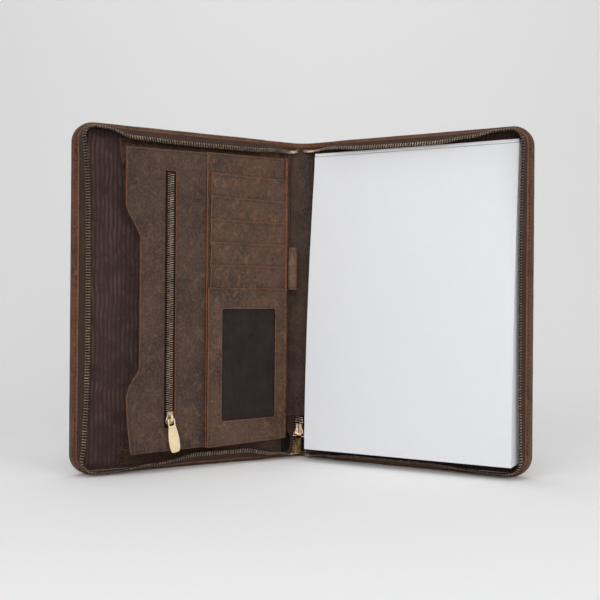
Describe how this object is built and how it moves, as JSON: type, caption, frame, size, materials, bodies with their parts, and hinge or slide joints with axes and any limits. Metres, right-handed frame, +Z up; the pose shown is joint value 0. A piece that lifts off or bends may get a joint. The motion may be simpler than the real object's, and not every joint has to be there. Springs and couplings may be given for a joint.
{
  "type": "zip-around leather document case with writing pad",
  "caption": "Leather document case with a zip round its edge, standing open like a book: pocket organizer on the left, writing pad on the right.",
  "frame": {"origin": "middle of the spine's bottom edge, halfway through the cover leather, on the floor plane", "axes": "+Z up along the spine, -Y towards the viewer where the covers open, +X towards the cover with the writing pad"},
  "size_m": [0.4256, 0.137, 0.323],
  "materials": {
    "distressed_leather": "waxy distressed pull-up leather with rubbed lighter marks",
    "rim_leather": "reddish-brown leather with burnished edges",
    "spine_suede": "dark matt leather, flesh side out",
    "lining_cloth": "dark purple-brown cloth with fine upright ribs",
    "zip_tape": "dark brown woven zip tape",
    "window_mesh": "fine dark mesh over ribbed lining",
    "antique_brass": "antique brass, darkened in the hollows",
    "light_gold": "light gold plating, satin",
    "pad_paper": "plain white uncoated paper",
    "backing_board": "plain grey-brown board"
  },
  "bodies": {
    "case": {"cover_wrap": "distressed_leather", "edge_band_left": "rim_leather", "edge_band_right": "rim_leather", "spine_hem_top": "rim_leather", "spine_hem_bottom": "rim_leather", "lining_left": "lining_cloth", "lining_right": "lining_cloth", "spine_lining": "spine_suede", "zip_tape_left": "zip_tape", "zip_tape_right": "zip_tape", "zip_chain_left": "antique_brass", "zip_chain_right": "antique_brass", "main_slider": "light_gold", "zip_panel": "distressed_leather", "organizer_lining": "lining_cloth", "card_panel": "distressed_leather", "card_slot_1": "distressed_leather", "card_slot_2": "distressed_leather", "card_slot_3": "distressed_leather", "card_slot_4": "distressed_leather", "card_slot_5": "distressed_leather", "window_mesh": "window_mesh", "window_frame": "distressed_leather", "panel_edge_strip": "rim_leather", "pocket_zip_tape": "zip_tape", "pocket_zip_chain": "antique_brass", "pocket_slider": "antique_brass", "pocket_gusset_top": "distressed_leather", "pocket_gusset_bottom": "distressed_leather", "pen_loop": "rim_leather", "pad_backing": "backing_board", "pad_binding": "pad_paper", "writing_pad": "pad_paper"},
    "pocket_pull": {"pocket_pull": "light_gold"},
    "main_pull": {"main_pull": "antique_brass"}
  },
  "joints": [
    {"name": "pocket_pull_swing", "type": "hinge", "parent": "case", "child": "pocket_pull", "pos_m": [-0.12081, -0.1009, 0.04956], "axis": [-0.7787, -0.6029, -0.1736], "range_deg": [0, 150]},
    {"name": "main_pull_swing", "type": "hinge", "parent": "case", "child": "main_pull", "pos_m": [-0.0011, -0.00589, 0.02579], "axis": [0.9925, 0, -0.1219], "range_deg": [-13.5, 0.8]}
  ]
}
